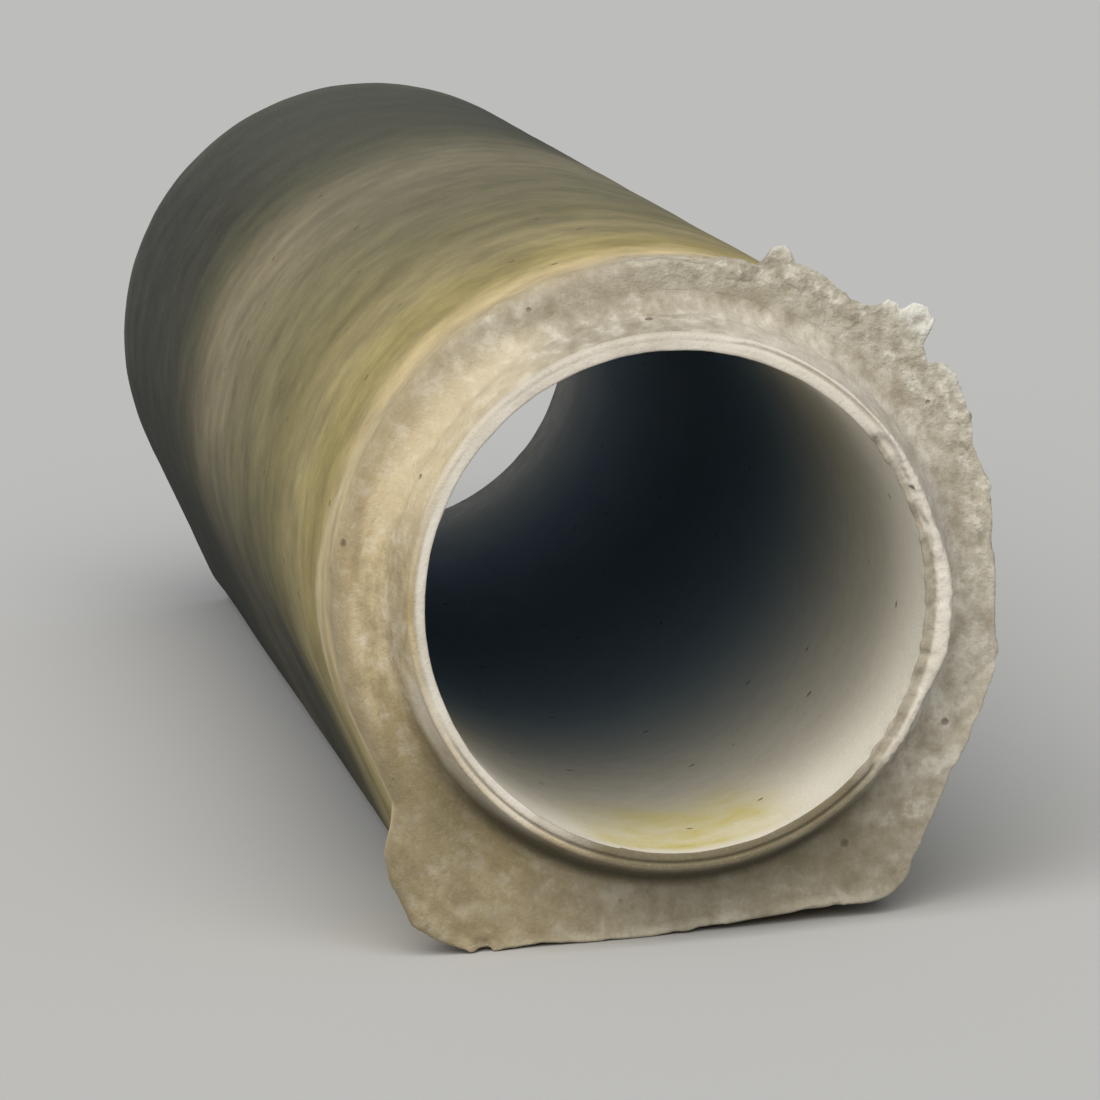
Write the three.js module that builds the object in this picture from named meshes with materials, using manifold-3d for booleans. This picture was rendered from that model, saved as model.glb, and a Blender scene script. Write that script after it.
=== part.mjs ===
// Footed concrete drain pipe, DN 300, with a tongue-and-groove joint.
//
// One casting: a round barrel on a flat foot, a flared tongue round the bore at one end and the
// matching groove at the other. Millimetres, +Z up. The pipe lies on its foot, its axis along Y and
// its tongue towards -Y. The origin is on the floor, under the middle of the overall length.

import * as THREE from 'three';
import { mergeVertices } from 'three/addons/utils/BufferGeometryUtils.js';
import Module from 'manifold-3d';

// ---- Driving dimensions --------------------------------------------------------------------

// Barrel
const BORE_D = 300;            // clear bore
const WALL = 50;               // barrel wall
const LAY_LENGTH = 1500;       // shoulder face to groove face: what one pipe adds to a run
const ARRIS = 3;               // worn outer edge of both end faces

// Foot
const FOOT_W = 270;            // width of the underside, before its corners are rounded
const FOOT_SOLE = 56;          // concrete under the bore, at the middle of the foot
const FOOT_CORNER = 24;        // how far the corner rounding starts from the sharp corner

// Tongue
const TONGUE_L = 37;           // shoulder face to the end of the tongue
const TONGUE_TIP_WALL = 11;    // tongue wall at the tip
const TONGUE_ROOT_WALL = 18;   // tongue wall at the root, where the flare starts
const TONGUE_NOSE = 3;         // rounding of the tip's outer edge
const TONGUE_FLARE = 14;       // radius by which the tongue spreads into the shoulder face
const LIP_W = 4.5;             // plain ring between the bore and the groove in the tongue's end
const RING_W = 2.5;            // that groove
const RING_DEPTH = 2;

// Groove
const JOINT_GAP = 4;           // radial room between a tongue and the groove it enters
const END_GAP = 3;             // room past the tongue's end when the shoulders meet
const MOUTH_GAP = 2;           // room between the tongue's flare and the mouth of the groove

// Flash: mortar squeezed out past the mould's end ring, on the tongue-end shoulder
const FLASH_SETBACK = 0.6;     // behind the shoulder face
const FLASH_DEPTH = 34;        // how far it runs back along the barrel
const FLASH_ROOT = 8;          // how deep its root is sunk in the barrel
const FLASH_FROM = 8;          // degrees from the crown, towards +X
const FLASH_TO = 80;
const FLASH_RUNOUT = 6;        // degrees over which either end fades into the barrel
const FLASH_BASE = 6;          // height of the lip between its crumbs
const FLASH_CRUMBS = [         // degrees from the crown, height over the barrel, half width in degrees
  { at: 16, rise: 9, half: 7 },
  { at: 23, rise: 19, half: 3 },
  { at: 30, rise: 12, half: 6 },
  { at: 42, rise: 20, half: 4 },
  { at: 48, rise: 29, half: 4 },
  { at: 57, rise: 13, half: 5 },
  { at: 63, rise: 11, half: 6 },
];

// Lump on the foot's -X corner, at the same end
const LUMP_OUT = 24;           // how far it stands out past the flank
const LUMP_TALL = 86;
const LUMP_BELLY = 46;         // height over the floor where it stands out most
const LUMP_CLEAR = 4;          // stays this far off the floor, so the pipe still rests on its foot
const LUMP_DEPTH = 32;
const LUMP_EDGE = 5;           // rounding of its front and back edge

const ROUND_STEPS = 96;        // facets in a full turn

// ---- Derived ---------------------------------------------------------------------------------

const BORE_R = BORE_D / 2;
const OUTER_R = BORE_R + WALL;
const AXIS_Z = BORE_R + FOOT_SOLE;
const TIP_R = BORE_R + TONGUE_TIP_WALL;
const ROOT_R = BORE_R + TONGUE_ROOT_WALL;
const Y_TIP = -(LAY_LENGTH + TONGUE_L) / 2;
const Y_SHOULDER = Y_TIP + TONGUE_L;
const Y_FAR = Y_SHOULDER + LAY_LENGTH;
const GROOVE_DEPTH = TONGUE_L + END_GAP;
const GROOVE_CHAMFER = TONGUE_FLARE - JOINT_GAP + MOUTH_GAP;
const OVERLAP = 10;            // how far joined solids reach into each other, and cutters out
const deg = THREE.MathUtils.degToRad;

// ---- Solids ------------------------------------------------------------------------------------

const wasm = await Module();
wasm.setup();

// Turns a closed three.js geometry into a solid that can be joined and cut.
function solidOf(geometry) {
  const bare = geometry.clone();
  bare.deleteAttribute('normal');
  bare.deleteAttribute('uv');
  const merged = mergeVertices(bare, 1e-3);
  const corners = merged.index.array;
  const kept = [];
  for (let i = 0; i < corners.length; i += 3) {
    const [a, b, c] = corners.slice(i, i + 3);
    if (a !== b && b !== c && c !== a) kept.push(a, b, c);   // drops the points on a revolve's axis
  }
  return new wasm.Manifold(new wasm.Mesh({
    numProp: 3,
    vertProperties: new Float32Array(merged.attributes.position.array),
    triVerts: new Uint32Array(kept),
  }));
}

function geometryOf(solid) {
  const mesh = solid.getMesh();
  const geometry = new THREE.BufferGeometry();
  geometry.setAttribute('position', new THREE.BufferAttribute(mesh.vertProperties, 3));
  geometry.setIndex(new THREE.BufferAttribute(mesh.triVerts, 1));
  geometry.computeVertexNormals();
  return geometry;
}

// Revolves [radius, y] pairs about the pipe's axis.
function revolve(profile) {
  const points = profile.map(([r, y]) => new THREE.Vector2(r, y));
  return new THREE.LatheGeometry(points, ROUND_STEPS).translate(0, 0, AXIS_Z);
}

// Points along an arc of a profile, in degrees, both ends included.
function arc(centreR, centreY, radius, from, to, steps = 4) {
  return Array.from({ length: steps + 1 }, (_, i) => {
    const angle = deg(from + (to - from) * (i / steps));
    return [centreR + radius * Math.cos(angle), centreY + radius * Math.sin(angle)];
  });
}

// Extrudes an outline of x and height over the floor, from yFrom to yTo, both ends rounded by edge.
function extrudeAlongY(shape, yFrom, yTo, edge) {
  const geometry = new THREE.ExtrudeGeometry(shape, {
    depth: yTo - yFrom - 2 * edge,
    bevelThickness: edge,
    bevelSize: edge,
    bevelOffset: -edge,
    bevelSegments: 2,
  });
  return geometry.rotateX(Math.PI / 2).translate(0, yTo - edge, 0);
}

// ---- Barrel and foot ---------------------------------------------------------------------------

// The flanks run from the foot's corners and touch the round of the barrel without a kink.
const HALF_FOOT = FOOT_W / 2;
const FLANK_END = Math.atan2(HALF_FOOT, AXIS_Z) + Math.acos(OUTER_R / Math.hypot(HALF_FOOT, AXIS_Z));
const FLANK_DIR = new THREE.Vector2(OUTER_R * Math.sin(FLANK_END) - HALF_FOOT,
  AXIS_Z - OUTER_R * Math.cos(FLANK_END)).normalize();

// A point of the barrel's round, by its angle from straight down.
function barrelPoint(angle) {
  return new THREE.Vector2(OUTER_R * Math.sin(angle), AXIS_Z - OUTER_R * Math.cos(angle));
}

// The rounded corner between the sole and the flank on the +X or -X side, from the sole up.
function footCorner(side) {
  const sole = new THREE.Vector2(side * (HALF_FOOT - FOOT_CORNER), 0);
  const sharp = new THREE.Vector2(side * HALF_FOOT, 0);
  const flank = new THREE.Vector2(side * (HALF_FOOT + FLANK_DIR.x * FOOT_CORNER),
    FLANK_DIR.y * FOOT_CORNER);
  return new THREE.QuadraticBezierCurve(sole, sharp, flank).getPoints(5);
}

function barrelOutline() {
  const sweep = 2 * (Math.PI - FLANK_END);
  const steps = Math.round(ROUND_STEPS * (sweep / (2 * Math.PI)));
  const round = Array.from({ length: steps + 1 }, (_, i) => barrelPoint(FLANK_END + sweep * (i / steps)));
  return new THREE.Shape([...footCorner(1), ...round, ...footCorner(-1).reverse()]);
}

// ---- Tongue, bore and groove -------------------------------------------------------------------

// The tongue's outside goes up from the shoulder to the tip; its inside is cut later by the bore.
function tongueGeometry() {
  const ringR = BORE_R + LIP_W;
  return revolve([
    [BORE_R - OVERLAP, Y_TIP],
    [ringR, Y_TIP],
    [ringR, Y_TIP + RING_DEPTH],
    [ringR + RING_W, Y_TIP + RING_DEPTH],
    [ringR + RING_W, Y_TIP],
    ...arc(TIP_R - TONGUE_NOSE, Y_TIP + TONGUE_NOSE, TONGUE_NOSE, -90, 0),
    ...arc(ROOT_R + TONGUE_FLARE, Y_SHOULDER - TONGUE_FLARE, TONGUE_FLARE, 180, 90, 8),
    [ROOT_R + TONGUE_FLARE, Y_SHOULDER + OVERLAP],
    [BORE_R - OVERLAP, Y_SHOULDER + OVERLAP],
    [BORE_R - OVERLAP, Y_TIP],
  ]);
}

// One cutter opens the bore from end to end and widens into the groove, which is the tongue's
// own shape let out by the joint gap, with a lead-in that clears its flare.
function boreCutterGeometry() {
  const bottomR = TIP_R + JOINT_GAP;
  const mouthR = ROOT_R + JOINT_GAP;
  return revolve([
    [0, Y_TIP - OVERLAP],
    [BORE_R, Y_TIP - OVERLAP],
    [BORE_R, Y_FAR - GROOVE_DEPTH],
    [bottomR, Y_FAR - GROOVE_DEPTH],
    [mouthR, Y_FAR - GROOVE_CHAMFER],
    [mouthR + GROOVE_CHAMFER, Y_FAR],
    [mouthR + GROOVE_CHAMFER, Y_FAR + OVERLAP],
    [0, Y_FAR + OVERLAP],
  ]);
}

// ---- Flash ---------------------------------------------------------------------------------------

function flashHeight(angle) {
  const crumbs = FLASH_CRUMBS.map(({ at, rise, half }) =>
    (rise - FLASH_BASE) * Math.max(0, 1 - Math.abs(angle - at) / half));
  return FLASH_BASE + Math.max(...crumbs);
}

// A wedge on the barrel's edge: as high as the crumbs at the shoulder, run out to nothing behind.
function flashGeometry() {
  const yFront = Y_SHOULDER + FLASH_SETBACK;
  const stations = FLASH_TO - FLASH_FROM;
  const positions = [];
  const index = [];
  for (let i = 0; i <= stations; i++) {
    const angle = FLASH_FROM + i;
    const fade = Math.min(1, i / FLASH_RUNOUT, (stations - i) / FLASH_RUNOUT);
    const rise = flashHeight(angle) * fade;
    const section = [
      [OUTER_R - FLASH_ROOT, yFront],
      [OUTER_R + rise, yFront],
      [OUTER_R + rise * 0.6, yFront + FLASH_DEPTH / 2],
      [OUTER_R - FLASH_ROOT, yFront + FLASH_DEPTH],
    ];
    for (const [r, y] of section) {
      positions.push(r * Math.sin(deg(angle)), y, AXIS_Z + r * Math.cos(deg(angle)));
    }
    if (i === 0) continue;
    const [now, last] = [4 * i, 4 * (i - 1)];
    for (let j = 0; j < 4; j++) {
      const k = (j + 1) % 4;
      index.push(last + j, now + j, last + k, last + k, now + j, now + k);
    }
  }
  const end = 4 * stations;
  index.push(0, 1, 2, 0, 2, 3, end, end + 2, end + 1, end, end + 3, end + 2);
  const geometry = new THREE.BufferGeometry();
  geometry.setAttribute('position', new THREE.Float32BufferAttribute(positions, 3));
  geometry.setIndex(index);
  return geometry;
}

// A lump grown out of the foot's corner, flat in front where the end ring held it.
function lumpGeometry() {
  const flankX = (z) => -(HALF_FOOT + z * FLANK_DIR.x / FLANK_DIR.y);
  const inside = -HALF_FOOT + FOOT_CORNER;
  const outside = flankX(LUMP_BELLY) - LUMP_OUT;
  const shape = new THREE.Shape();
  shape.moveTo(inside, LUMP_CLEAR);
  shape.lineTo(-HALF_FOOT, LUMP_CLEAR);
  shape.quadraticCurveTo(outside, LUMP_CLEAR, outside, LUMP_BELLY);
  shape.quadraticCurveTo(outside, LUMP_TALL, flankX(LUMP_TALL) + OVERLAP, LUMP_TALL);
  shape.lineTo(inside, LUMP_TALL);
  const yFront = Y_SHOULDER + FLASH_SETBACK;
  return extrudeAlongY(shape, yFront, yFront + LUMP_DEPTH, LUMP_EDGE);
}

// ---- The pipe ------------------------------------------------------------------------------------

const pipe = solidOf(extrudeAlongY(barrelOutline(), Y_SHOULDER, Y_FAR, ARRIS))
  .add(solidOf(tongueGeometry()))
  .add(solidOf(flashGeometry()))
  .add(solidOf(lumpGeometry()))
  .subtract(solidOf(boreCutterGeometry()));

const concrete = new THREE.MeshStandardMaterial({ color: 0x9a917f, roughness: 0.95, metalness: 0 });
const concretePipe = new THREE.Mesh(geometryOf(pipe), concrete);
concretePipe.name = 'concrete_pipe';

const object = new THREE.Group();
object.add(concretePipe);

export default object;
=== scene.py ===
"""Footed concrete drain pipe with a tongue-and-groove joint, lying on its foot on a pale floor.

The pipe is one casting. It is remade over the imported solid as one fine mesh: a closed grid of
stations round the pipe's axis and rows along its profile. Its flash, lump and wear follow outlines
given below, and noise roughens them. Metres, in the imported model's frame: the axis along Y, the
tongue towards -Y.
"""
import math

import bpy
import numpy as np
from mathutils import Matrix, Vector, noise


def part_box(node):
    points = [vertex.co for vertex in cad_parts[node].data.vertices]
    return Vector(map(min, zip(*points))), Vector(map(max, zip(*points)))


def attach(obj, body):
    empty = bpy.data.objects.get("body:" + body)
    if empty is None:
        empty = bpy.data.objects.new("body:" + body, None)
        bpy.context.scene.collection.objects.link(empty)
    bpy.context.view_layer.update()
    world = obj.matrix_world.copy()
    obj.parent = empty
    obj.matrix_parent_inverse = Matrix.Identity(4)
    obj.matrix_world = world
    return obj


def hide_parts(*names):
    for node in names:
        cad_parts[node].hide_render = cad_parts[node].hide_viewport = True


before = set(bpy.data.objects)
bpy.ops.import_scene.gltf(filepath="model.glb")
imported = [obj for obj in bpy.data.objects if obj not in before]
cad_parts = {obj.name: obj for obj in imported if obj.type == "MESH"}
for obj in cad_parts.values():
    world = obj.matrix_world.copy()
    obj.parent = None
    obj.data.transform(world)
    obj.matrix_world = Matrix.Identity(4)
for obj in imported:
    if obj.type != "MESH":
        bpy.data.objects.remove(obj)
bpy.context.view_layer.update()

noise.seed_set(1)             # noise_vector's offsets come from this seed, and not from the clock

# ---- Sizes -------------------------------------------------------------------------------------
# Angles are in degrees round the axis, from the crown towards +X: 90 is +X, 180 straight down.

CAD_LOW, CAD_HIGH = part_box("concrete_pipe")
Y_TIP = CAD_LOW.y
Y_FAR = CAD_HIGH.y

BORE_R = 0.150
OUTER_R = 0.200
AXIS_Z = 0.206
HALF_FOOT = 0.135
FOOT_CORNER = 0.024           # how far from the sharp corner the foot's rounding starts

TONGUE_L = 0.037
TIP_R = 0.161
ROOT_R = 0.168
NOSE = 0.003                  # rounding of the tongue's outer end
FLARE = 0.014                 # radius by which the tongue spreads into the shoulder face
LIP_W = 0.0045                # from the bore to the ring groove in the tongue's end
RING_W = 0.0025               # that groove's width and depth
RING_DEPTH = 0.0018
LEAST_FLAT = 0.0006           # what stays flat between the groove and the nose
Y_SHOULDER = Y_TIP + TONGUE_L

GROOVE_DEPTH = 0.040          # the far end's groove, and its lead-in
GROOVE_BOTTOM_R = 0.165
GROOVE_MOUTH_R = 0.172
GROOVE_CHAMFER = 0.012
FAR_ARRIS = 0.003             # rounded outer edge of the far end's face

STATIONS = 560
FINE_LENGTH = 0.060           # behind the shoulder, where the barrel's rows lie closer together
SPARSE = 0.55                 # how dense the stations are, and how much denser, as (extra, centre,
DENSE = [                     # half, soft), where the outline has small forms
    (3.0, 41, 28, 6), (1.3, 98, 34, 8), (1.6, 225, 13, 5), (0.8, 147, 8, 4), (0.6, 180, 28, 5),
]

# ---- Wear and damage ---------------------------------------------------------------------------

FLASH = [                     # (angle, height over the barrel) of the flash's outline
    (5, 0.0), (8, -0.002), (11, -0.001), (14, 0.004), (19.8, 0.004), (20.8, 0.017), (22.3, 0.0225),
    (23.6, 0.0205), (25, 0.0135), (29.2, 0.014), (32.8, 0.0095), (35, 0.009), (36.2, 0.0065),
    (38.3, 0.009), (40.3, 0.0135), (41.2, 0.022), (42.8, 0.0235), (43.9, 0.022), (44.7, 0.030),
    (46.6, 0.034), (48.8, 0.031), (49.6, 0.022), (50.3, 0.014), (53.2, 0.0085), (53.9, 0.0145),
    (55, 0.018), (57.6, 0.0185), (60.7, 0.015), (63.8, 0.0125), (66, 0.0095), (68, 0.006),
    (73, 0.0045), (76.7, 0.006), (81, 0.0025), (86, 0.0), (97, 0.0), (102, 0.002), (104.5, 0.006),
    (107.5, 0.0065), (111, 0.0055), (115, 0.006), (120, 0.004), (127, 0.0),
]
FLASH_DEPTH = 0.034           # how far the flash runs back along the barrel
KNOB_FROM = 0.012             # what stands higher than this is a knob
KNOB_FULL = 0.006             # how much higher it is one in full
KNOB_DEPTH = 0.017            # how far a knob runs back
LUMP = [                      # (angle, height over the foot) of the lump on the foot's -X corner
    (208.5, 0.0), (211, 0.003), (213.2, 0.0065), (216.4, 0.012), (221.6, 0.0245), (227.7, 0.024),
    (231.3, 0.0196), (233.7, 0.0083), (236, 0.0),
]
LUMP_DEPTH = 0.032
ARRIS = 0.0022                # rounded outer edge of the tongue end's face,
ARRIS_WIDER = 0.0098          # how much wider it is down the -X side
ARRIS_KNOB = 0.0035           # and on the knobs
WORN = 0.0092                 # how far towards the axis the foot's +X edge is worn at the face
WEAR_DEPTH = 0.20             # how far back that wear runs out
SWELL = 0.0045                # how far the tongue's end bulges on its +X side
LIP_LOSS = 0.0045             # how far its lip is broken back there
LIP_UNEVEN = 0.0012           # and how much that varies
LIP_RAGGED = 0.0007           # how much its width varies there
LIP_WIDER = 0.0022            # how much wider it is beside the flash
RING_FILLED = 0.85            # how much of the ring groove's depth is filled at the upper -X side
CRUMB = 0.013                 # size and height of the grains in the flash
CRUMB_TALL = 0.0028
GRIT = 0.006                  # the same for the finer grains between them
GRIT_TALL = 0.0011
CRUMB_MEAN = 0.4              # taken off the grains, so that they leave the outline where it is
EDGE_ROUND = 0.0004           # what the broken +X edge of the face has lost all along,
EDGE_CHIPS = 0.0026           # and the depth of its chips
SOLE_CHIPS = 0.0035           # depth of the small chips along the sole's front edge
SOLE_CHIP_X = -0.125          # and place and depth of the large one
SOLE_CHIP_DEPTH = 0.005
LUMP_CHIPS = 0.0024
TIP_ROUGH = 0.0002            # height of the roughness on the tongue's end,
BREAK_ROUGH = 0.0010          # and how much more it is where the lip is broken
WAVES = 0.0006                # height of the broad waves of the barrel and bore
DIMPLES = 0.0004              # and of the small dimples everywhere

# ---- Colours, as linear red, green and blue ------------------------------------------------------

BANDS = [                     # (distance behind the shoulder, colour) of the barrel's stains and painted shade, darkest far back
    (0.00, (0.50, 0.41, 0.255)), (0.05, (0.54, 0.43, 0.235)), (0.10, (0.37, 0.30, 0.12)),
    (0.14, (0.32, 0.26, 0.10)), (0.22, (0.35, 0.29, 0.135)), (0.29, (0.30, 0.25, 0.115)),
    (0.34, (0.23, 0.195, 0.083)), (0.48, (0.21, 0.186, 0.092)), (0.58, (0.205, 0.180, 0.095)),
    (0.76, (0.25, 0.215, 0.13)), (0.86, (0.20, 0.173, 0.104)), (0.96, (0.09, 0.083, 0.046)),
    (1.06, (0.05, 0.05, 0.033)), (1.28, (0.038, 0.04, 0.03)), (1.45, (0.045, 0.047, 0.038)),
    (1.50, (0.09, 0.09, 0.075)),
]
BAND_SPAN = 1.5
STAINS_AND_SHADES = {                    # mask: (colour, how much of the concrete it covers); stains, and painted shade and highlights
    "buff": ((0.66, 0.57, 0.40), 0.45),
    # pale cement, with painted highlight round the tongue's end
    "cream": ((0.68, 0.635, 0.56), 0.75),
    "edge": ((0.23, 0.19, 0.12), 0.55),
    # dirt, and painted shade on the tongue's end low down and on its broken ledge
    "stain_and_shade": ((0.14, 0.115, 0.065), 0.9),
    # painted shade over the barrel's top
    "crown": ((0.09, 0.09, 0.07), 0.45),
    # dirt, and painted shade under the barrel
    "under": ((0.013, 0.014, 0.008), 0.95),
    "bore": ((0.51, 0.495, 0.435), 0.7),
    # painted light in the bore's mouth
    "pale": ((0.74, 0.705, 0.62), 0.75),
    # damp, and bluish painted shade deep in the bore
    "damp_and_shade": ((0.20, 0.32, 0.43), 0.85),
    # dirt, and painted shade in the ring groove
    "groove_dirt_and_shade": ((0.16, 0.135, 0.085), 0.55),
    # painted highlights along the face's edges
    "rim": ((0.62, 0.565, 0.44), 0.55),
    # painted shade in the crease round the tongue's root
    "crease": ((0.055, 0.046, 0.026), 0.9),
    "fresh": ((0.40, 0.37, 0.30), 0.6),
    # pale mortar, with painted highlight on the knobs' tops
    "knob": ((0.68, 0.68, 0.64), 0.7),
}
PASTE = (0.36, 0.325, 0.26)
PASTE_CLOUD = (0.44, 0.405, 0.34)
PASTE_PATCH = (0.28, 0.245, 0.18)
PASTE_DARK = (0.25, 0.215, 0.155)
PASTE_LIGHT = (0.56, 0.525, 0.45)
FACE_DARK = (0.21, 0.175, 0.115)
FACE_LIGHT = (0.60, 0.565, 0.49)
OCHRE = (0.385, 0.285, 0.120)
OCHRE_LIGHT = (0.60, 0.52, 0.35)
OCHRE_DARK = (0.26, 0.195, 0.105)
# dirt, and painted shade low on the face by the tongue
LOW_DIRT_AND_SHADE = (0.145, 0.12, 0.065)
PALE_LINE = (0.66, 0.57, 0.38)
GROWTH = (0.50, 0.43, 0.12)
GRAIN_LIGHT = (0.72, 0.70, 0.63)
GRAIN_DARK = (0.22, 0.195, 0.14)
SAND_DARK = (0.17, 0.145, 0.11)
SAND_LIGHT = (0.66, 0.62, 0.55)
HOLE = (0.10, 0.075, 0.045)
SPECKS = [                    # (place, radius) of dark specks on the tongue end's face
    ((-0.1925, Y_SHOULDER + 0.003, 0.2527), 0.0025), ((0.0973, Y_SHOULDER, 0.0455), 0.0020),
    ((0.1631, Y_SHOULDER, 0.1141), 0.0018), ((-0.0889, Y_SHOULDER, 0.3812), 0.0016),
]

# ---- Small helpers -----------------------------------------------------------------------------


def ramp(value, low, high):
    """0 below low, 1 above high, smooth between. Low may be the larger one."""
    t = np.clip((value - low) / (high - low), 0, 1)
    return t * t * (3 - 2 * t)


def window(angle, centre, half, soft):
    """1 within half of centre, round the circle, fading to 0 over soft."""
    off = np.abs((angle - centre + 180) % 360 - 180)
    return ramp(off, half + soft, half)


def fractal(points, size, seed, octaves=3):
    """Perlin noise of roughly -1 to 1 whose largest features are about size across."""
    shift = Vector((seed * 11.3, seed * 5.7, seed * 3.1))
    return np.array([noise.fractal(Vector(p) / size + shift, 1.0, 2.0, octaves) for p in points])


def crumbs(points, size, seed):
    """Rounded lumps of uneven height, 0 to 1, packed like grains about size across."""
    shift = Vector((seed * 7.9, seed * 2.3, seed * 13.7))
    height = np.zeros(len(points))
    for i, point in enumerate(points):
        place = Vector(point) / size + shift
        place += 0.45 * noise.noise_vector(place * 1.3)
        near, grains = noise.voronoi(place)
        tall = 0.5 + 0.8 * noise.noise(grains[0] * 5.3)
        height[i] = tall * max(0, 1 - (near[0] / 0.75) ** 2)
    return np.clip(height, 0, 1)


def waver(turn, pace, seed):
    """Noise of roughly -1 to 1 round the pipe."""
    return np.array([1.6 * noise.noise(Vector((math.radians(a) * pace, seed, 0))) for a in turn])


# ---- Mesh: stations and outline ------------------------------------------------------------------


def make_stations(count):
    """Angles round the axis, closer together where the outline has small forms."""
    fine = np.linspace(0, 360, 7201)[:-1]
    density = SPARSE + sum(extra * window(fine, *where) for extra, *where in DENSE)
    total = np.concatenate([[0], np.cumsum(density)])
    steps = np.linspace(0, total[-1], count + 1)[:-1]
    return np.interp(steps, total, np.linspace(0, 360, len(total)))


def outline_radius(turn):
    """Distance from the axis to the outside of the barrel and foot, at each station."""
    flank_end = math.atan2(HALF_FOOT, AXIS_Z) + math.acos(OUTER_R / math.hypot(HALF_FOOT, AXIS_Z))
    touch = Vector((OUTER_R * math.sin(flank_end), AXIS_Z - OUTER_R * math.cos(flank_end)))
    sharp = Vector((HALF_FOOT, 0))
    sole = Vector((HALF_FOOT - FOOT_CORNER, 0))
    flank = sharp + (touch - sharp).normalized() * FOOT_CORNER
    t = np.linspace(0, 1, 60)[:, None]
    corner = (1 - t) ** 2 * np.array(sole) + 2 * t * (1 - t) * np.array(sharp) + t ** 2 * np.array(flank)
    straight = np.array(flank) + t * (np.array(touch) - np.array(flank))
    across = t * np.array(sole)
    side = np.vstack([across, corner, straight])
    down = np.degrees(np.arctan2(side[:, 0], AXIS_Z - side[:, 1]))
    far = np.hypot(side[:, 0], AXIS_Z - side[:, 1])
    off = np.abs(turn - 180)
    return np.where(off < math.degrees(flank_end), np.interp(off, down, far), OUTER_R)


def height_of(outline, turn):
    return np.interp(turn, *zip(*outline), left=0, right=0)


def arris_width(turn):
    """Width of the face's rounded edge."""
    knob = np.maximum(height_of(FLASH, turn) - KNOB_FROM, 0)
    return ARRIS + ARRIS_WIDER * window(turn, 288, 55, 24) + ARRIS_KNOB * np.clip(knob / KNOB_FULL, 0, 1)


def lip_width(turn):
    """Width of the plain ring inside the ring groove: wider by the flash, uneven where it is broken."""
    uneven = LIP_RAGGED * window(turn, 98, 33, 4) * waver(turn, 40, 8.3)
    return LIP_W + LIP_WIDER * window(turn, 40, 17, 12) + uneven


def broken_lip(turn):
    """How far the tongue's lip is broken back, down the +X side."""
    return window(turn, 94, 37, 4) * (LIP_LOSS + LIP_UNEVEN * waver(turn, 14, 5.1))


def worn(turn):
    """How far the foot's +X edge is worn back at the tongue end."""
    return WORN * ramp(turn, 121, 149) * ramp(turn, 188, 150)


def raised(turn):
    """Gives a function of y: how far the flash and the lump stand out there, less the foot's wear."""
    flash = height_of(FLASH, turn)
    body, knob = np.minimum(flash, KNOB_FROM), np.maximum(flash - KNOB_FROM, 0)
    lump = height_of(LUMP, turn)
    depth = FLASH_DEPTH * (0.75 + 0.25 * waver(turn, 9, 3.7))

    def rise(y):
        back = y - Y_SHOULDER
        wedge = np.clip(1 - back / depth, 0, 1) ** 0.8
        bulb = np.sqrt(np.clip(1 - (back / KNOB_DEPTH) ** 2, 0, 1))
        block = np.sqrt(np.clip(1 - (back / LUMP_DEPTH) ** 3, 0, 1))
        wear = np.clip(1 - back / WEAR_DEPTH, 0, 1) ** 1.5
        return body * wedge + knob * bulb + lump * block - worn(turn) * wear

    return rise


# ---- Mesh: rows, as (zone, radius, y), from the far end forward, round the tongue and back inside ----


def outside_rows(turn, outer):
    """The barrel, the face's rounded edge and the shoulder face."""
    rise = raised(turn)
    edge = arris_width(turn)
    start, end = Y_FAR - FAR_ARRIS, Y_SHOULDER + FINE_LENGTH
    for t in np.linspace(0, 1, 25)[:-1]:
        y = start + (end - start) * t
        yield "barrel", outer + rise(y), y
    for t in np.linspace(0, 1, 27)[:-1]:
        y = end + (Y_SHOULDER + edge - end) * (1 - (1 - t) ** 1.4)
        yield "barrel", outer + rise(y), y
    for t in np.radians(np.linspace(0, 90, 7)):
        y = Y_SHOULDER + edge * (1 - np.sin(t))
        yield "arris", outer + rise(y) - edge * (1 - np.cos(t)), y
    rim = outer + rise(Y_SHOULDER) - edge
    for t in np.linspace(0, 1, 41)[1:-1]:
        yield "face", rim + (ROOT_R + FLARE - rim) * t, Y_SHOULDER


def tongue_rows(turn):
    """The flare out of the shoulder face, the taper and the rounded nose."""
    swell = SWELL * window(turn, 97, 7, 14)
    nose = np.minimum(NOSE, TIP_R + swell - BORE_R - lip_width(turn) - RING_W - LEAST_FLAT)
    for t in np.radians(np.linspace(90, 180, 10)):
        yield "root", ROOT_R + FLARE * (1 + math.cos(t)), Y_SHOULDER - FLARE * (1 - math.sin(t))
    for t in np.linspace(0, 1, 9)[1:]:
        y = Y_SHOULDER - FLARE + (Y_TIP + nose - Y_SHOULDER + FLARE) * t
        yield "tongue", ROOT_R + (TIP_R - ROOT_R) * t + swell * t, y
    for t in np.radians(np.linspace(0, 90, 5))[1:]:
        yield "tip", TIP_R + swell - nose * (1 - math.cos(t)), Y_TIP + nose * (1 - math.sin(t))


def end_rows(turn):
    """The tongue's flat end: the ring groove, then the lip, broken back down the +X side."""
    lip = lip_width(turn)
    gone = broken_lip(turn)
    sunk = RING_DEPTH * (1 - RING_FILLED * window(turn, 310, 60, 25))
    for step, down in ((1, 0), (0.75, 0.8), (0.5, 1), (0.25, 0.8), (0, 0)):
        yield "tip", BORE_R + lip + RING_W * step, Y_TIP + np.maximum(sunk * down, gone * (1 - step))
    for step, down in ((0.66, 0), (0.33, 0), (0.1, 0.05), (0, 0.2)):
        yield "tip", BORE_R + lip * step, Y_TIP + LIP_W * down + gone


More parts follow.
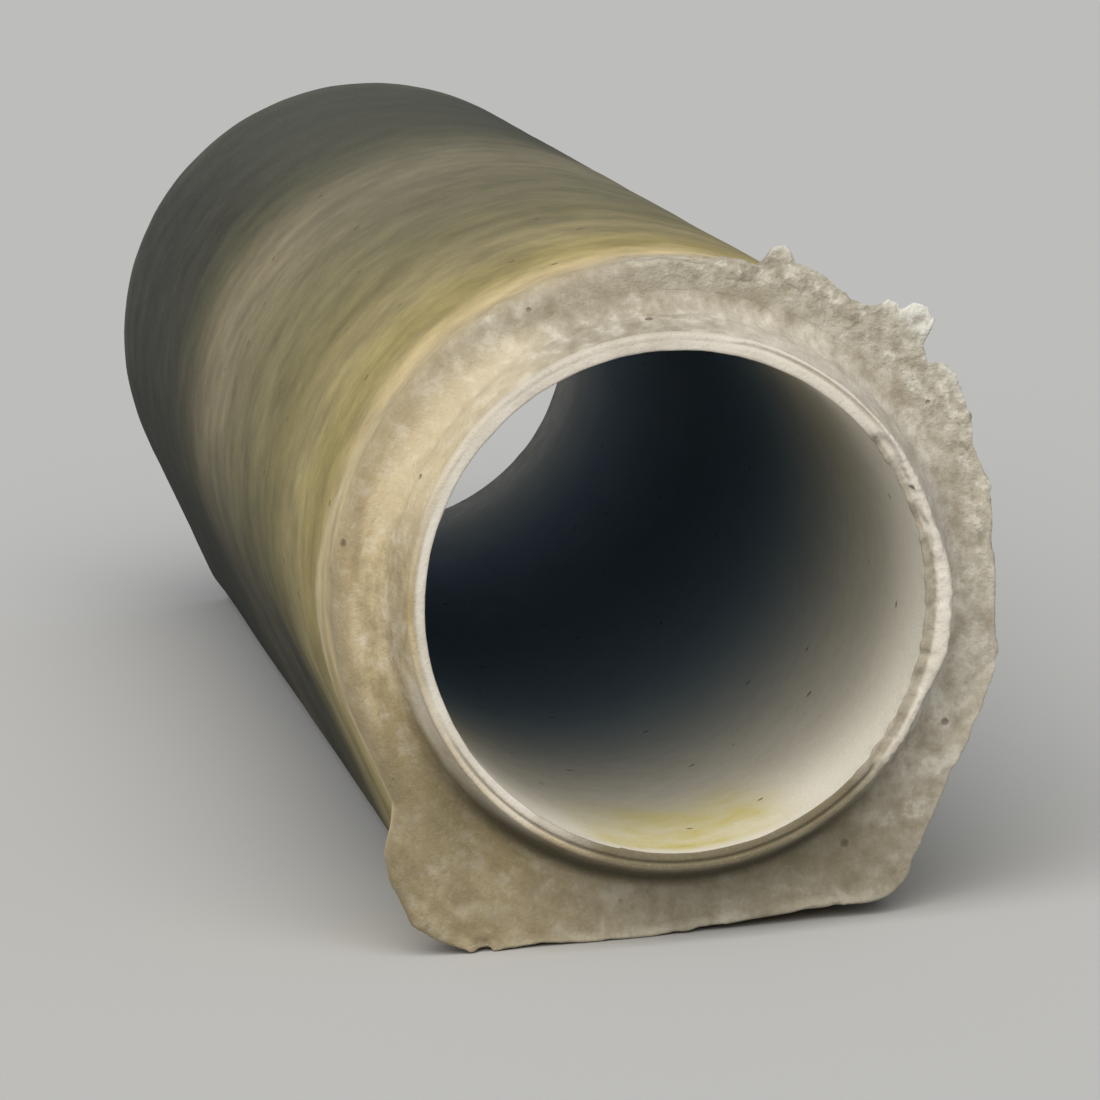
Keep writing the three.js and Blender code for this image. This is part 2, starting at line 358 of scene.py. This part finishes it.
def inside_rows(turn, outer):
    """The bore, the groove, and the far end's face with its rounded edge."""
    start, end = Y_TIP + LIP_W * 0.5 + broken_lip(turn), Y_FAR - GROOVE_DEPTH
    for t in np.linspace(0, 1, 30)[:-1]:
        yield "bore", BORE_R, start + (end - start) * t ** 1.9
    for t in (0, 0.5):
        yield "groove", BORE_R + (GROOVE_BOTTOM_R - BORE_R) * t, Y_FAR - GROOVE_DEPTH
    for t in np.linspace(0, 1, 5):
        y = Y_FAR - GROOVE_DEPTH + (GROOVE_DEPTH - GROOVE_CHAMFER) * t
        yield "groove", GROOVE_BOTTOM_R + (GROOVE_MOUTH_R - GROOVE_BOTTOM_R) * t, y
    inner, rim = GROOVE_MOUTH_R + GROOVE_CHAMFER, outer - FAR_ARRIS
    for t in np.linspace(0, 1, 7)[:-1]:
        yield "farface", inner + (rim - inner) * t, Y_FAR
    for t in np.radians(np.linspace(90, 0, 5))[:-1]:
        yield "arris", outer - FAR_ARRIS * (1 - math.cos(t)), Y_FAR - FAR_ARRIS * (1 - math.sin(t))


def build_grid(turn):
    """Points by row and station, and each row's zone."""
    outer = outline_radius(turn)
    rows = [*outside_rows(turn, outer), *tongue_rows(turn), *end_rows(turn), *inside_rows(turn, outer)]
    zone, radius, y = zip(*rows)
    radius, y = (np.array([row * np.ones_like(turn) for row in rows]) for rows in (radius, y))
    angle = np.radians(turn)
    points = np.stack([radius * np.sin(angle), y, AXIS_Z + radius * np.cos(angle)], -1)
    return points, np.array(zone)


def grid_normals(grid):
    """Outward normals of a grid of points that closes on itself both ways."""
    along = np.roll(grid, -1, 0) - np.roll(grid, 1, 0)
    around = np.roll(grid, -1, 1) - np.roll(grid, 1, 1)
    normal = np.cross(along, around)
    return normal / np.linalg.norm(normal, axis=2, keepdims=True)


def grid_faces(rows, count):
    """Quads of a grid of points that closes on itself both ways."""
    index = np.arange(rows * count).reshape(rows, count)
    right, below = np.roll(index, -1, 1), np.roll(index, -1, 0)
    corner = np.roll(below, -1, 1)
    return np.stack([index, below, corner, right], -1).reshape(-1, 4)


class Place:
    """Where each point of the grid lies: its zone, angle, and distances from edges and axis."""

    def __init__(self, points, turn, zone):
        self.points = points
        self.shape = points.shape[:2]
        self.zone = zone
        self.turn = np.broadcast_to(turn, self.shape)
        self.x, self.y, self.z = np.moveaxis(points, 2, 0)
        self.back = self.y - Y_SHOULDER
        self.depth = self.y - Y_TIP
        self.out = np.hypot(self.x, self.z - AXIS_Z)
        self.over_sole = self.z - worn(turn)

    def of(self, *names):
        """1 in the named zones, 0 elsewhere."""
        return np.isin(self.zone, names)[:, None] * np.ones(self.shape)

    def near(self, centre, half, soft):
        return window(self.turn, centre, half, soft)

    def fractal(self, size, seed, octaves=3):
        return fractal(self.points.reshape(-1, 3), size, seed, octaves).reshape(self.shape)


# ---- Mesh: relief ------------------------------------------------------------------------------


def crumbly_part(p, front):
    """Where granular mortar lies: over the flash, its stray crumb and the face beside them."""
    crumbly = p.near(44, 31, 9) * ramp(p.out, 0.182, 0.198)
    crumbly = np.maximum(crumbly, p.near(106, 5, 3) * ramp(p.out, 0.194, 0.201))
    return crumbly * front * ramp(p.back, 0.045, 0.030)


def mortar_grains(p, crumbly):
    """Height of the mortar's grains, where there is any."""
    busy = crumbly > 0.001
    picked = p.points[busy]
    grains = np.zeros(p.shape)
    coarse = CRUMB_TALL * (crumbs(picked, CRUMB, 1) - CRUMB_MEAN)
    grains[busy] = coarse + GRIT_TALL * (crumbs(picked, GRIT, 2) - CRUMB_MEAN)
    return grains * crumbly


def chipped(p, front, crumbly):
    """What is missing from the broken +X edge, the sole's front edge and the lump's edge."""
    grain = p.fractal(0.024, 4, 4)
    broken = p.near(106, 36, 12) * front * ramp(p.out, 0.186, 0.197) * ramp(p.back, 0.02, 0.004)
    loss = broken * (1 - crumbly) * (EDGE_ROUND + EDGE_CHIPS * np.clip(grain, 0, 1))
    near_edge = front * ramp(p.back, 0.016, 0.002)
    sole = near_edge * ramp(p.over_sole, 0.012, 0.0)
    chip = ramp(np.abs(p.x - SOLE_CHIP_X), 0.007, 0.002)
    loss = loss + sole * (SOLE_CHIPS * np.clip(grain, 0, 1) + SOLE_CHIP_DEPTH * chip)
    knuckle = p.near(226, 12, 4) * near_edge * ramp(p.out, 0.205, 0.220)
    return loss + knuckle * LUMP_CHIPS * grain


def rough_tip(p):
    """Roughness of the tongue's end: most where its lip is broken, little elsewhere."""
    tip = p.of("tip") + p.of("bore") * (p.y < Y_TIP + 0.012)
    return tip * (TIP_ROUGH + BREAK_ROUGH * p.near(96, 36, 10)) * p.fractal(0.008, 5, 4)


def relief(points, turn, zone):
    """Moves the grid's points by the casting's grains, chips and unevenness."""
    p = Place(points, turn, zone)
    front = p.of("face", "arris", "barrel") * (p.back < 0.08)
    crumbly = crumbly_part(p, front)
    loss = chipped(p, front, crumbly)

    # Dimples lie everywhere, and broad waves on the barrel between its ends and in the bore.
    inward = p.of("barrel") * ramp(p.back, 0.0, 0.06) * ramp(p.y, Y_FAR, Y_FAR - 0.06) + p.of("bore")
    move = mortar_grains(p, crumbly) + rough_tip(p)
    move = move - WAVES * inward * (p.fractal(0.22, 6, 2) + 1) + DIMPLES * p.fractal(0.030, 7)

    # Points move outward and along, never round the pipe, so steep sides don't fold over. What is
    # chipped off the outer edge goes inward and back at once, so both its sides move together.
    sine, cosine, one = np.sin(np.radians(turn)), np.cos(np.radians(turn)), np.ones_like(turn)
    normals = grid_normals(points)
    round_pipe = np.stack([cosine, 0 * one, -sine], -1)
    sideways = (normals * round_pipe).sum(-1, keepdims=True)
    away = np.stack([-sine, one, -cosine], -1) / math.sqrt(2)
    return points + (normals - sideways * round_pipe) * move[:, :, None] + away * loss[:, :, None]


# ---- Mesh: masks, where the material changes, from 0 to 1 at each point ---------------------------


def cream_nose(p):
    """The tongue's lower -X side, made paler: painted light."""
    return p.of("tip", "tongue", "root") * p.near(236, 14, 16) * ramp(p.out, 0.1685, 0.1645)


def face_masks(p, cloud, patch):
    """The cast face: ochre on -X, dirt and painted shade round the foot, buff and dark parts, painted
    highlights on its rims, mortar.
    """
    face = p.of("face", "arris", "root", "tongue") * (p.y < 0)
    ochre = (face + p.of("tip") * ramp(p.out, 0.155, 0.158)) * p.near(256, 38, 40)
    # dirt, and painted shade, darkest close under the tongue
    low = p.near(194, 43, 24) * (0.85 + 0.15 * ramp(p.out, 0.186, 0.170)) * (0.95 + 0.4 * cloud)
    low = face * low * (1 - 0.4 * ramp(p.over_sole, 0.018, 0.0))
    edge = face * ramp(p.out, 0.184, 0.197) * p.near(280, 34, 22)
    edge = np.maximum(edge, 0.8 * face * ramp(p.out, 0.174, 0.184) * p.near(2, 18, 16))
    # painted highlights along the sole's and the +X side's edges
    sole_rim = face * ramp(p.over_sole, 0.009, 0.002) * p.near(180, 32, 4) * (0.3 + 0.6 * patch)
    side_rim = face * ramp(p.out, 0.192, 0.199) * p.near(96, 26, 12) * (0.3 + 0.7 * patch)
    fresh = p.near(46, 40, 20) * p.of("face", "arris", "barrel") * ramp(p.back, 0.055, 0.030)
    fresh = fresh * ramp(p.out, 0.178, 0.194)
    return {
        "face": face,
        "ochre": ochre * (0.85 + 0.3 * cloud),
        "low": low * (1 - 0.8 * cream_nose(p)),
        "buff": face * p.near(312, 14, 20) * ramp(p.out, 0.196, 0.178),
        "edge": edge,
        "rim": np.maximum(sole_rim, side_rim),
        "fresh": fresh,
        # pale mortar, with painted highlight on the knobs' tops
        "knob": fresh * ramp(p.out, 0.206, 0.226),
    }


def tongue_masks(p, patch):
    """The tongue: cream with painted highlight round its end, dirt and painted shade in the ring groove,
    dirt and painted shade below, painted shade where broken and in the crease.
    """
    tip = p.of("tip")
    broken = p.near(93, 38, 5)
    ledge = tip * broken * ramp(p.out + 0.002 * p.near(62, 12, 12), 0.1568, 0.1545)
    lower = np.maximum(tip, p.of("bore") * ramp(p.depth, 0.0065, 0.0035)) * p.near(170, 24, 20)
    groove = tip * ramp(p.y, Y_TIP, Y_TIP + 0.001) * (1 - broken)
    ridge = tip * ramp(p.out, 0.1550, 0.1568) * p.near(90, 37, 8)
    # painted highlight on the tongue's upper +X flank
    flank = p.of("tongue", "root") * ramp(p.out, 0.180, 0.165) * p.near(66, 40, 24)
    # pale cement with painted highlight: the end's top, the +X ridge and the -X lip
    cream = np.maximum(tip * p.near(12, 62, 34) * (1 - ledge), ridge)
    cream = np.maximum(cream, tip * ramp(p.out, 0.157, 0.154) * p.near(268, 44, 20))
    cream = np.maximum(cream, 0.6 * flank)
    cream = np.maximum(cream, 0.75 * cream_nose(p))
    # painted shade in the crease round the tongue's root, low down
    crease = p.of("root", "tongue") * p.near(188, 28, 34)
    return {
        # dirt, and painted shade in the ring groove, most low down
        "groove_dirt_and_shade": groove * (0.35 + 0.65 * p.near(180, 60, 30)),
        # dirt and painted shade on the end low down, painted shade on the broken ledge
        "stain_and_shade": np.maximum(lower * (0.85 + 0.35 * ramp(p.out, 0.160, 0.155)), 0.4 * ledge),
        "crease": crease * ramp(np.abs(p.out - ROOT_R), 0.010, 0.002),
        "cream": cream * (0.8 + 0.3 * patch),
    }


def bore_masks(p, patch):
    """The bore: painted light by the tongue, damp with bluish painted shade in its middle, with growth
    on its invert by the tongue.
    """
    bore = p.of("bore")
    algae = bore * p.near(178, 12, 20) * ramp(p.depth, 0.005, 0.022) * ramp(p.depth, 0.20, 0.09)
    return {
        "bore": bore,
        "algae": algae * (0.8 + 0.5 * patch),
        # damp, and bluish painted shade in the bore's middle
        "damp_and_shade": bore * ramp(p.depth, 0.20, 0.60) * ramp(p.y, Y_FAR - 0.05, Y_FAR - 0.35),
        # painted light, paler towards the tongue
        "pale": bore * ramp(p.depth, 0.18, 0.02),
    }


def barrel_masks(p, cloud):
    """The barrel: dirt and painted shade, nearly black, low down, and painted shade on its crown."""
    barrel = p.of("barrel", "arris") * ramp(p.back, 0.0, 0.02)
    return {
        "barrel": barrel,
        # dirt, and painted shade under the barrel
        "under": barrel * ramp(p.z, 0.27, 0.10) * ramp(p.back, 0.06, 0.48) * (0.9 + 0.2 * cloud),
        # painted shade on the barrel's top
        "crown": barrel * ramp(p.z, 0.33, 0.405) * ramp(p.back, 0.05, 0.30),
    }


def masks(points, turn, zone):
    p = Place(points, turn, zone)
    cloud = p.fractal(0.12, 8, 4)
    patch = p.fractal(0.045, 9, 3)
    return {
        **face_masks(p, cloud, patch), **tongue_masks(p, patch),
        **bore_masks(p, patch), **barrel_masks(p, cloud),
    }


def make_casting():
    turn = make_stations(STATIONS)
    points, zone = build_grid(turn)
    points = relief(points, turn, zone)
    points = np.clip(points, np.array(CAD_LOW), np.array(CAD_HIGH))
    mesh = bpy.data.meshes.new("pipe_casting")
    mesh.from_pydata(points.reshape(-1, 3).tolist(), [], grid_faces(*points.shape[:2]).tolist())
    mesh.shade_smooth()
    for name, value in masks(points, turn, zone).items():
        layer = mesh.attributes.new(name, "FLOAT", "POINT")
        layer.data.foreach_set("value", np.clip(value, 0, 1).astype(np.float32).ravel())
    casting = bpy.data.objects.new("pipe_casting", mesh)
    bpy.context.scene.collection.objects.link(casting)
    return casting


# ---- Concrete ----------------------------------------------------------------------------------


def colour(red, green, blue):
    return (red, green, blue, 1.0)


class Concrete:
    """Adds shader nodes and links them in one call, and holds the noises that layers share."""

    def __init__(self, tree):
        self.tree = tree
        self.place = self.add("TexCoord").outputs["Object"]
        parts = self.add("SeparateXYZ", {0: self.place})
        self.across, self.along, self.high = (parts.outputs[axis] for axis in "XYZ")
        self.cloud = self.noise(self.place, 7.0, 4.0)              # about 140 mm across
        self.patch = self.noise(self.place, 34.0, 4.0, 0.6)        # 30 mm
        self.mottle = self.noise(self.place, 80.0, 3.0, 0.6)       # 12 mm
        self.grains = self.noise(self.place, 120.0, 3.0, 0.6)      # 8 mm
        self.sand = self.noise(self.place, 520.0, 2.0, 0.7)        # 2 mm

    def add(self, kind, inputs=(), **settings):
        node = self.tree.nodes.new("ShaderNode" + kind)
        for key, value in settings.items():
            setattr(node, key, value)
        for key, value in dict(inputs).items():
            if isinstance(value, bpy.types.NodeSocket):
                self.tree.links.new(value, node.inputs[key])
            else:
                node.inputs[key].default_value = value
        return node

    def mask(self, name):
        return self.add("Attribute", attribute_name=name).outputs["Fac"]

    def math(self, operation, a, b=0.5, c=0.5):
        return self.add("Math", {0: a, 1: b, 2: c}, operation=operation).outputs[0]

    def times(self, *values):
        product = values[0]
        for value in values[1:]:
            product = self.math("MULTIPLY", product, value)
        return product

    def spread(self, value, low, high, to_low=0.0, to_high=1.0):
        """Maps low..high onto to_low..to_high, held at both ends."""
        return self.add("MapRange", {"Value": value, "From Min": low, "From Max": high,
                                     "To Min": to_low, "To Max": to_high}).outputs[0]

    def noise(self, place, scale, detail=3.0, roughness=0.55):
        return self.add("TexNoise", {"Vector": place, "Scale": scale, "Detail": detail,
                                     "Roughness": roughness}).outputs["Fac"]

    def stretch(self, scale):
        return self.add("Mapping", {"Vector": self.place, "Scale": scale}).outputs[0]

    def mix(self, factor, a, b, blend="MIX"):
        node = self.add("Mix", {0: factor, 6: a, 7: b}, data_type="RGBA", blend_type=blend)
        return node.outputs[2]

    def lay(self, base, shade, *amounts):
        """Lays a colour over base by the product of amounts. A name stands for its mask."""
        amounts = [self.mask(a) if isinstance(a, str) else a for a in amounts]
        return self.mix(self.times(*amounts), base, colour(*shade))

    def stain_and_shade(self, base, *names):
        """Lays the named stains, painted shades and painted highlights over base, one after another."""
        for name in names:
            shade, cover = STAINS_AND_SHADES[name]
            base = self.lay(base, shade, name, cover)
        return base


def paste(n):
    """Cement paste: broad clouds, patches and mottles."""
    tint = n.mix(n.spread(n.cloud, 0.35, 0.65), colour(*PASTE), colour(*PASTE_CLOUD))
    tint = n.lay(tint, PASTE_PATCH, n.spread(n.patch, 0.46, 0.66, 0.0, 0.5))
    tint = n.lay(tint, PASTE_DARK, n.spread(n.mottle, 0.50, 0.68, 0.0, 0.5))
    return n.lay(tint, PASTE_LIGHT, n.spread(n.mottle, 0.46, 0.32, 0.0, 0.5))


def cast_face(n, tint):
    """The cast face: mottled, stained ochre to one side, dirt and painted shade under the tongue."""
    above = n.math("SUBTRACT", n.high, AXIS_Z)
    bearing = n.math("ARCTAN2", n.across, above)
    radius = n.math("SQRT", n.math("MULTIPLY_ADD", n.across, n.across, n.times(above, above)))
    sweep = n.add("CombineXYZ", {0: n.times(bearing, 5.0), 1: n.times(radius, 120.0), 2: n.along})
    swirl = n.noise(sweep.outputs[0], 1.0, 3.0, 0.6)
    drip = n.noise(n.stretch((130.0, 20.0, 14.0)), 1.0, 3.0, 0.6)
    tint = n.lay(tint, OCHRE, "ochre", n.spread(n.cloud, 0.3, 0.7, 0.95, 0.65))
    tint = n.lay(tint, OCHRE_LIGHT, "ochre", n.spread(swirl, 0.52, 0.34, 0.0, 0.45))
    tint = n.lay(tint, OCHRE_DARK, "ochre", n.spread(swirl, 0.50, 0.68, 0.0, 0.45))
    tint = n.lay(tint, PASTE_DARK, "face", n.spread(drip, 0.48, 0.70, 0.0, 0.35))
    tint = n.lay(tint, FACE_DARK, "face", n.spread(n.mottle, 0.52, 0.66, 0.0, 0.35))
    tint = n.lay(tint, FACE_LIGHT, "face", n.spread(n.mottle, 0.48, 0.34, 0.0, 0.35))
    tint = n.stain_and_shade(tint, "buff", "cream", "edge")
    # dirt, and painted shade low on the face
    tint = n.lay(tint, LOW_DIRT_AND_SHADE, "low", n.spread(n.patch, 0.3, 0.7, 0.8, 0.6))
    # dirt and painted shade on the tongue's end low down
    return n.stain_and_shade(tint, "stain_and_shade")


def band_colours(n):
    """Bands of growth, damp and painted shade across the barrel, darkest far back, whose edges waver by
    5 cm each way.
    """
    waver = n.math("MULTIPLY_ADD", n.noise(n.place, 6.0, 3.0), 0.10, -Y_SHOULDER - 0.05)
    back = n.math("ADD", n.along, waver)
    bands = n.add("ValToRGB", {0: n.math("DIVIDE", back, BAND_SPAN)})
    steps = bands.color_ramp.elements
    while len(steps) < len(BANDS):
        steps.new(1.0)
    for step, (distance, shade) in zip(steps, BANDS):
        step.position = distance / BAND_SPAN
        step.color = colour(*shade)
    return bands.outputs[0]


def pale_line(n):
    """How strongly a pale line shows that slants down the barrel's -X side near the tongue."""
    wander = n.math("MULTIPLY_ADD", n.noise(n.place, 16.0, 2.0), 0.05, -Y_SHOULDER - 0.221)
    slant = n.math("MULTIPLY_ADD", n.high, 0.54, n.math("ADD", n.along, wander))
    line = n.spread(n.math("ABSOLUTE", slant), 0.017, 0.003, 0.0, 0.75)
    line = n.times(line, n.spread(n.high, 0.34, 0.28), n.spread(n.high, 0.08, 0.16))
    return n.times(line, n.spread(n.across, 0.0, -0.05), n.spread(n.patch, 0.35, 0.60, 1.0, 0.55))


def barrel_skin(n):
    """The barrel: its bands, blotched and mottled, with the pale line and painted shade on the crown."""
    fine_band = n.noise(n.stretch((5.0, 26.0, 5.0)), 1.0, 2.0, 0.5)
    blotch = n.math("MULTIPLY_ADD", n.noise(n.place, 22.0, 4.0, 0.6), 1.0, n.times(fine_band, 0.5))
    skin = n.mix(1.0, band_colours(n), n.spread(blotch, 0.50, 1.0, 1.28, 0.72), "MULTIPLY")
    skin = n.lay(skin, PALE_LINE, pale_line(n))
    skin = n.mix(1.0, skin, n.spread(n.mottle, 0.38, 0.62, 1.05, 0.95), "MULTIPLY")
    return n.stain_and_shade(skin, "crown")


def fresh_mortar(n, tint):
    """Broken mortar: paler, with light and dark grains, whitest on its knobs by a painted highlight."""
    tint = n.stain_and_shade(tint, "fresh", "knob")
    tint = n.lay(tint, GRAIN_LIGHT, "fresh", n.spread(n.grains, 0.54, 0.66, 0.0, 0.4))
    return n.lay(tint, GRAIN_DARK, "fresh", n.spread(n.grains, 0.47, 0.36, 0.0, 0.5))


def holes(n):
    """Pin holes, and a few dark specks on the face."""
    pores = n.add("TexVoronoi", {"Vector": n.place, "Scale": 55.0})
    few = n.math("GREATER_THAN", n.add("SeparateColor", {0: pores.outputs["Color"]}).outputs[1], 0.88)
    hole = n.times(few, n.spread(pores.outputs["Distance"], 0.14, 0.08))
    for spot, size in SPECKS:
        reach = n.add("VectorMath", {0: n.place, 1: spot}, operation="DISTANCE").outputs["Value"]
        ragged = n.math("MULTIPLY_ADD", n.grains, 0.004, reach)
        hole = n.math("MAXIMUM", hole, n.spread(ragged, size + 0.003, size + 0.001))
    return hole


def bump(n, hole):
    """Sand and grit all over, grains in the mortar, and pits where the holes are."""
    height = n.math("MULTIPLY_ADD", n.noise(n.place, 240.0, 3.0, 0.65), 0.6, n.times(n.sand, 0.5))
    height = n.math("MULTIPLY_ADD", n.times(n.mask("face"), n.mottle), 1.2, height)
    height = n.math("MULTIPLY_ADD", n.times(n.mask("fresh"), n.grains), 1.8, height)
    height = n.math("MULTIPLY_ADD", hole, -2.0, height)
    return n.add("Bump", {"Height": height, "Distance": 0.0011, "Strength": 0.75}).outputs[0]


def make_concrete():
    material = bpy.data.materials.new("cast_concrete")
    material.use_nodes = True
    material.node_tree.nodes.clear()
    n = Concrete(material.node_tree)
    hole = holes(n)
    tint = cast_face(n, paste(n))
    tint = n.mix(n.mask("barrel"), tint, barrel_skin(n))
    # the near black underside is dirt and painted shade, the pale mouth painted light, the bluish middle
    # damp and painted shade
    tint = n.stain_and_shade(tint, "under", "bore", "pale", "damp_and_shade")
    tint = n.lay(tint, GROWTH, "algae", n.spread(n.patch, 0.35, 0.65, 0.55, 1.0))
    # dirt and painted shade in the ring groove, painted highlights on the rims, painted shade in the
    # crease
    tint = n.stain_and_shade(tint, "groove_dirt_and_shade", "rim", "crease")
    tint = fresh_mortar(n, tint)
    tint = n.lay(tint, SAND_DARK, n.spread(n.sand, 0.60, 0.74, 0.0, 0.3))
    tint = n.lay(tint, SAND_LIGHT, n.spread(n.sand, 0.40, 0.28, 0.0, 0.1))
    tint = n.lay(tint, HOLE, hole, 0.7)
    rough = n.spread(n.patch, 0.3, 0.7, 0.80, 0.96)
    shader = n.add("BsdfPrincipled", {"Base Color": tint, "Roughness": rough, "Normal": bump(n, hole),
                                      "Specular IOR Level": 0.28})
    n.add("OutputMaterial", {"Surface": shader.outputs[0]})
    return material


# ---- Studio ------------------------------------------------------------------------------------


def make_floor():
    half, under = 60.0, -0.0004
    corners = [(-half, -half, under), (half, -half, under), (half, half, under), (-half, half, under)]
    mesh = bpy.data.meshes.new("floor")
    mesh.from_pydata(corners, [], [(0, 1, 2, 3)])
    floor = bpy.data.objects.new("floor", mesh)
    bpy.context.scene.collection.objects.link(floor)
    material = bpy.data.materials.new("pale_floor")
    material.use_nodes = True
    shader = material.node_tree.nodes["Principled BSDF"]
    shader.inputs["Base Color"].default_value = colour(0.47, 0.47, 0.465)
    shader.inputs["Roughness"].default_value = 0.9
    mesh.materials.append(material)


def make_light():
    """One soft sun from above the camera, slightly to the left, and a dim sky."""
    world = bpy.data.worlds.new("studio")
    world.use_nodes = True
    background = world.node_tree.nodes["Background"]
    background.inputs["Color"].default_value = colour(0.80, 0.88, 1.0)
    background.inputs["Strength"].default_value = 0.32
    bpy.context.scene.world = world
    lamp = bpy.data.lights.new("key", "SUN")
    lamp.energy = 3.6
    lamp.angle = math.radians(70)
    lamp.color = (1.0, 0.96, 0.89)
    key = bpy.data.objects.new("key", lamp)
    towards = Vector((-0.20, -0.66, 0.72))
    key.rotation_euler = towards.to_track_quat("Z", "Y").to_euler()
    bpy.context.scene.collection.objects.link(key)


def make_camera():
    eye = Vector((-0.615, -4.809, 0.843))
    aim = Vector((-0.0735, Y_TIP, 0.244))
    roll = math.radians(-3.8)
    data = bpy.data.cameras.new("camera")
    data.lens = 229.5
    data.sensor_width = 36.0
    data.clip_end = 500.0
    camera = bpy.data.objects.new("camera", data)
    turn = (aim - eye).to_track_quat("-Z", "Y").to_matrix().to_4x4()
    camera.matrix_world = Matrix.Translation(eye) @ turn @ Matrix.Rotation(roll, 4, "Z")
    bpy.context.scene.collection.objects.link(camera)
    bpy.context.scene.camera = camera


casting = make_casting()
casting.data.materials.append(make_concrete())
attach(casting, "root")
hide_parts("concrete_pipe")
make_floor()
make_light()
make_camera()
bpy.context.scene.view_settings.view_transform = "Standard"
